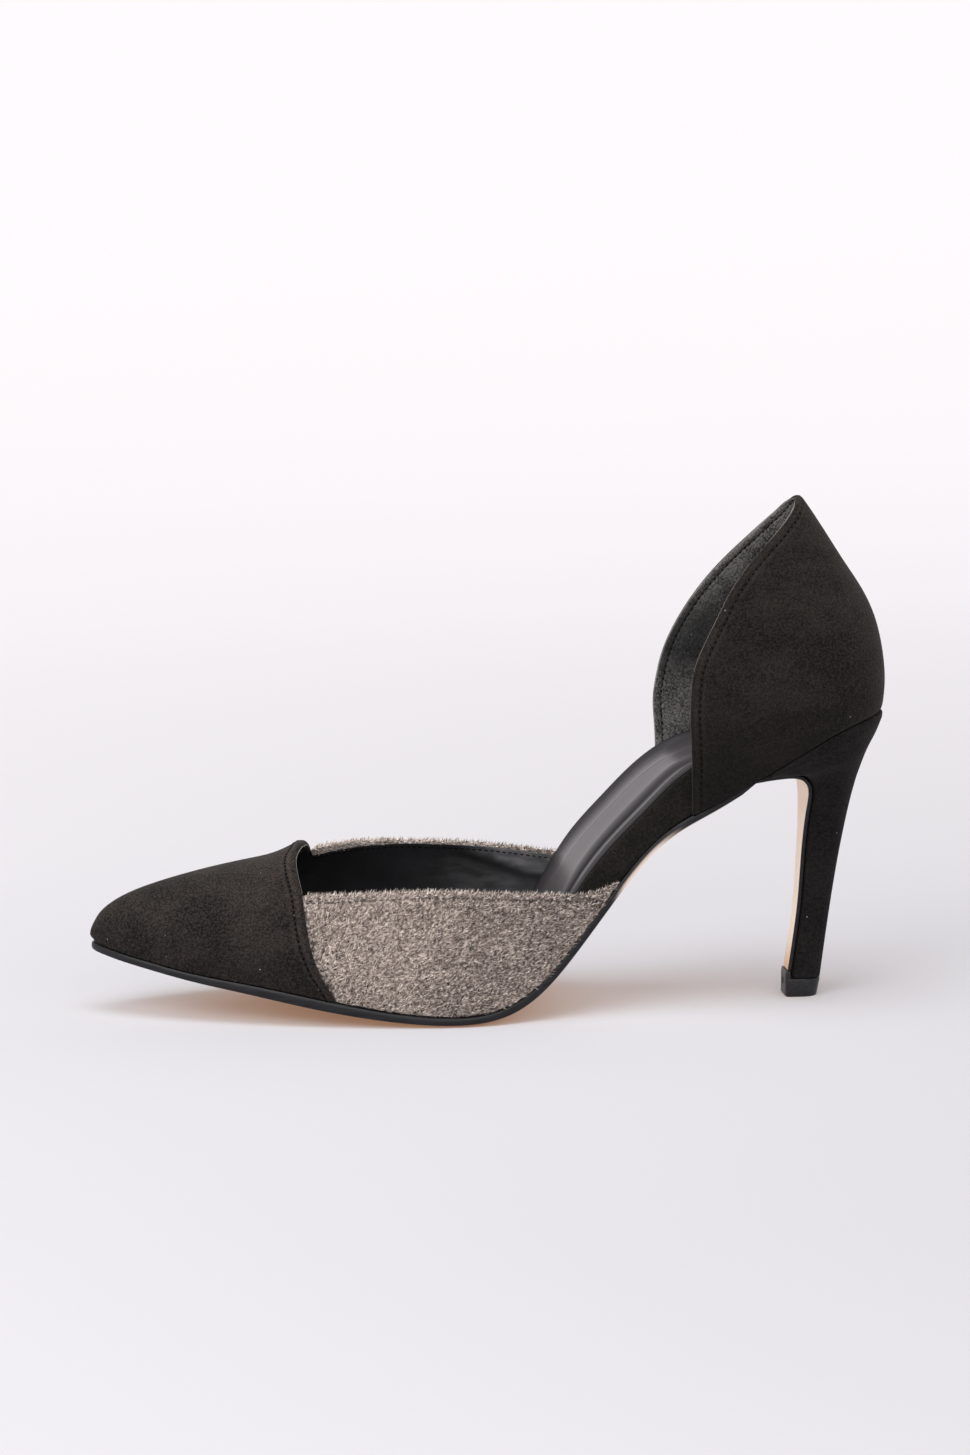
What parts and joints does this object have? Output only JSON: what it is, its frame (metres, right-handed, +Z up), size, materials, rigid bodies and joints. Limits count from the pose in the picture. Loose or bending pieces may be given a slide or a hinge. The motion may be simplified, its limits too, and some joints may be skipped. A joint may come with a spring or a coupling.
{
  "type": "stiletto heel",
  "caption": "Pointed two-piece stiletto pump: grey suede vamp with black toe cap, open sides, black suede heel counter rising to a peak, slim covered heel.",
  "frame": {"origin": "centre of the shoe's bounding box on the floor", "axes": "+X from toe to heel, +Y towards the inner side of the foot, +Z up"},
  "size_m": [0.2361, 0.0733, 0.1506],
  "materials": {
    "sole_leather": "satin tan underside with a black painted edge",
    "insole_suede": "matt black suede cover",
    "sock_leather": "smooth black, semi-gloss",
    "grey_suede": "coarse napped grey suede with black lining",
    "black_suede": "fine matt black suede",
    "heel_suede": "fine matt black suede",
    "tip_plastic": "black, glossy"
  },
  "bodies": {
    "root": {"outsole": "sole_leather", "insole": "insole_suede", "sock": "sock_leather", "vamp": "grey_suede", "toe_cap": "black_suede", "counter": "black_suede", "heel": "heel_suede", "top_piece": "tip_plastic"}
  },
  "joints": []
}
